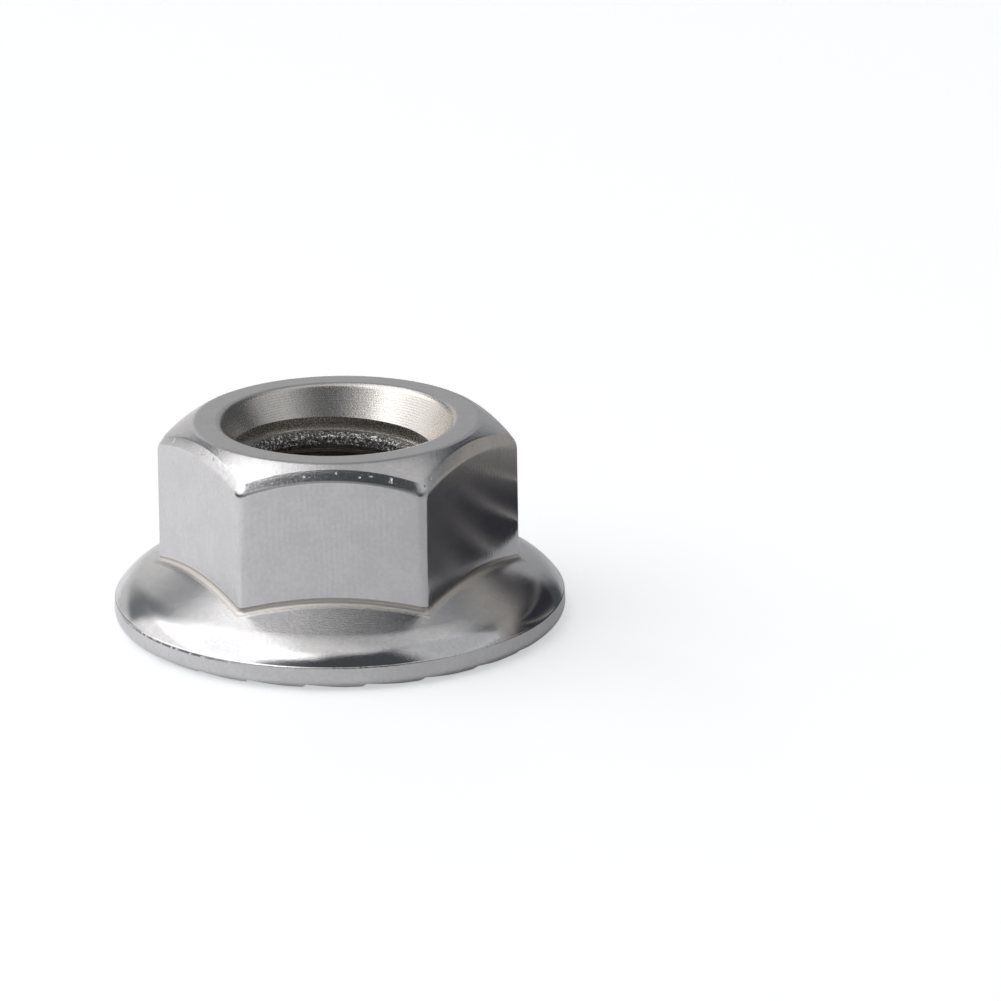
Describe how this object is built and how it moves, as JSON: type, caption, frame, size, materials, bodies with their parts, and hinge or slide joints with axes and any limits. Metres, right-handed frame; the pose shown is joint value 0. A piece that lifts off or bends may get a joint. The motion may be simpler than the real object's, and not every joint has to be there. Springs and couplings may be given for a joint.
{
  "type": "serrated flange nut",
  "caption": "Hexagon nut with an integral conical flange, a right-hand thread, and ratchet serrations under the flange that resist loosening.",
  "frame": {"origin": "on the thread axis, in the plane of the tooth crests that the nut stands on", "axes": "+Z along the thread axis from the serrated face to the plain end; +X towards a corner of the hexagon, so two wrench faces look along Y"},
  "size_m": [0.0214, 0.0214, 0.0096],
  "materials": {
    "stainless_steel": "cold-forged and tumbled bright, with a fine grain"
  },
  "bodies": {
    "root": {"flange_nut": "stainless_steel"}
  },
  "joints": []
}
